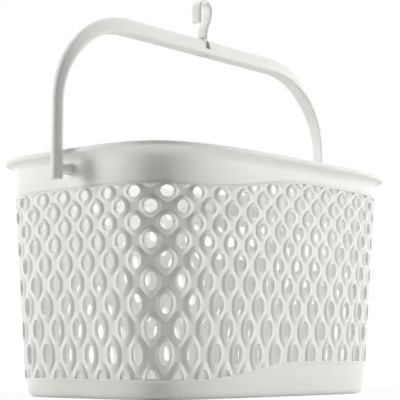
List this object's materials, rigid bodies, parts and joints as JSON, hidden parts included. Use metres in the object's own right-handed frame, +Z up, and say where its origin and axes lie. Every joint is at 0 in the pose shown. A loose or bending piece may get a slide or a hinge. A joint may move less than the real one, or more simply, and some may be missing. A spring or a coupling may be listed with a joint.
{
  "type": "peg basket",
  "caption": "Open moulded basket with staggered oval piercings, a rolled lip, a bail handle that swings over the rim and a swivel hook on its grip, for hanging pegs from a line.",
  "frame": {"origin": "middle of the flat underside, on the surface that the basket stands on", "axes": "+Z up; X along the basket's length, through both handle pivots; -Y is the long side seen in the picture"},
  "size_m": [0.2668, 0.1668, 0.2605],
  "materials": {
    "basket": "satin moulded",
    "handle": "satin moulded",
    "hook": "satin moulded"
  },
  "bodies": {
    "basket": {"basket": "basket"},
    "handle": {"handle": "handle"},
    "hook": {"hook": "hook"}
  },
  "joints": [
    {"name": "handle_swing", "type": "hinge", "parent": "basket", "child": "handle", "pos_m": [0, 0, 0.1334], "axis": [1, 0, 0], "range_deg": [-115, 115]},
    {"name": "hook_swivel", "type": "hinge", "parent": "handle", "child": "hook", "pos_m": [0, 0, 0.2336], "axis": [0, 0, 1], "continuous": true}
  ]
}
